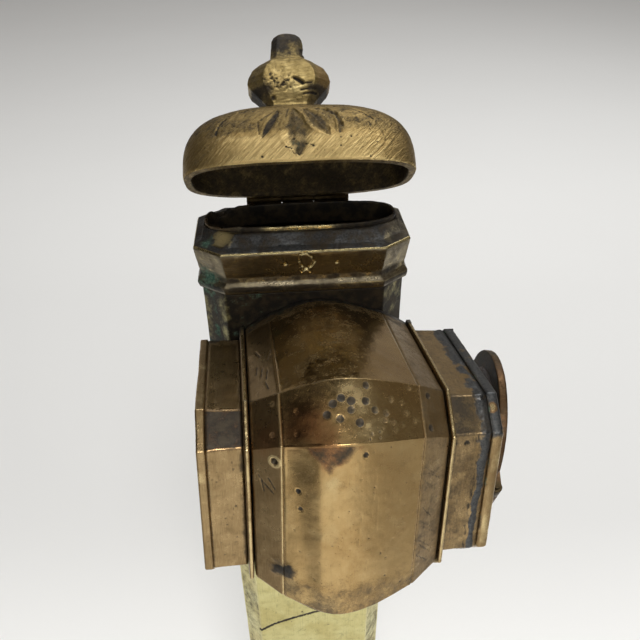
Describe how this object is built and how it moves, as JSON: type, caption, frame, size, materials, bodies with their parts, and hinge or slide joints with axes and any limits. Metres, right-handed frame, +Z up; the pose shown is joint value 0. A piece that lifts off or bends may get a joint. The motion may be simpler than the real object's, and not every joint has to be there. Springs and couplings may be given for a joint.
{
  "type": "scribe pen case with ink pot",
  "caption": "Long flat-sided brass pen case with a hinged domed cap and finial, and a faceted ink pot with its own small hinged lid soldered across the front.",
  "frame": {"origin": "centre of the flat underside of the tail plate, at the closed end of the pen tube", "axes": "+Z up the pen tube towards its mouth, +X to the side the ink pot's mouth points to, -Y the front that carries the ink pot; the cap hinge is at the back (+Y)"},
  "size_m": [0.0541, 0.0712, 0.2609],
  "materials": {
    "tube_brass": "rubbed, pale yellow, scratched",
    "collar_brass": "dark brown patina, rubbed bright on the edges",
    "cap_brass": "cast, filed, pitted",
    "pot_brass": "brown-gold patina, rubbed bright on the edges",
    "pin_brass": "dull, dark",
    "lid_brass": "rust-brown, ink-stained",
    "solder": "dull grey-blue solder",
    "ink_pad": "black, soaked with dried ink",
    "silk": "black, soaked"
  },
  "bodies": {
    "case": {"pen_tube": "tube_brass", "tail_plate": "tube_brass", "tail_band": "tube_brass", "mouth_collar": "collar_brass", "mouth_lip": "collar_brass", "collar_hinge_leaf": "collar_brass", "pot_base_plate": "pot_brass", "pot_base_drum": "pot_brass", "pot_base_ridge": "pot_brass", "pot_base_band": "pot_brass", "pot_belly": "pot_brass", "pot_mouth_band": "pot_brass", "pot_mouth_ridge": "pot_brass", "pot_mouth_drum": "pot_brass", "pot_mouth_plate": "pot_brass", "pot_back_plate": "pot_brass", "ink_mouth_neck": "pot_brass", "collar_leaf_rivets": "pin_brass", "cap_hinge_pin": "pin_brass", "ink_hinge_pin": "pin_brass", "ink_hinge_ears": "lid_brass", "pot_solder_seams": "solder", "ink_wad": "silk"},
    "cap": {"cap_shell": "cap_brass", "cap_finial": "cap_brass", "cap_finial_tang": "cap_brass", "cap_hinge_leaf": "cap_brass"},
    "ink_lid": {"ink_lid_disc": "lid_brass", "ink_lid_pad": "ink_pad", "ink_lid_strap": "lid_brass", "ink_lid_rivet": "pin_brass"}
  },
  "joints": [
    {"name": "cap_hinge", "type": "hinge", "parent": "case", "child": "cap", "pos_m": [0, 0.01105, 0.23245], "axis": [-1, 0, 0], "range_deg": [-41, 155]},
    {"name": "ink_lid_hinge", "type": "hinge", "parent": "case", "child": "ink_lid", "pos_m": [0.02907, -0.0355, 0.19736], "axis": [-0.0543, 0.3037, -0.9512], "range_deg": [-9.6, 145]}
  ]
}
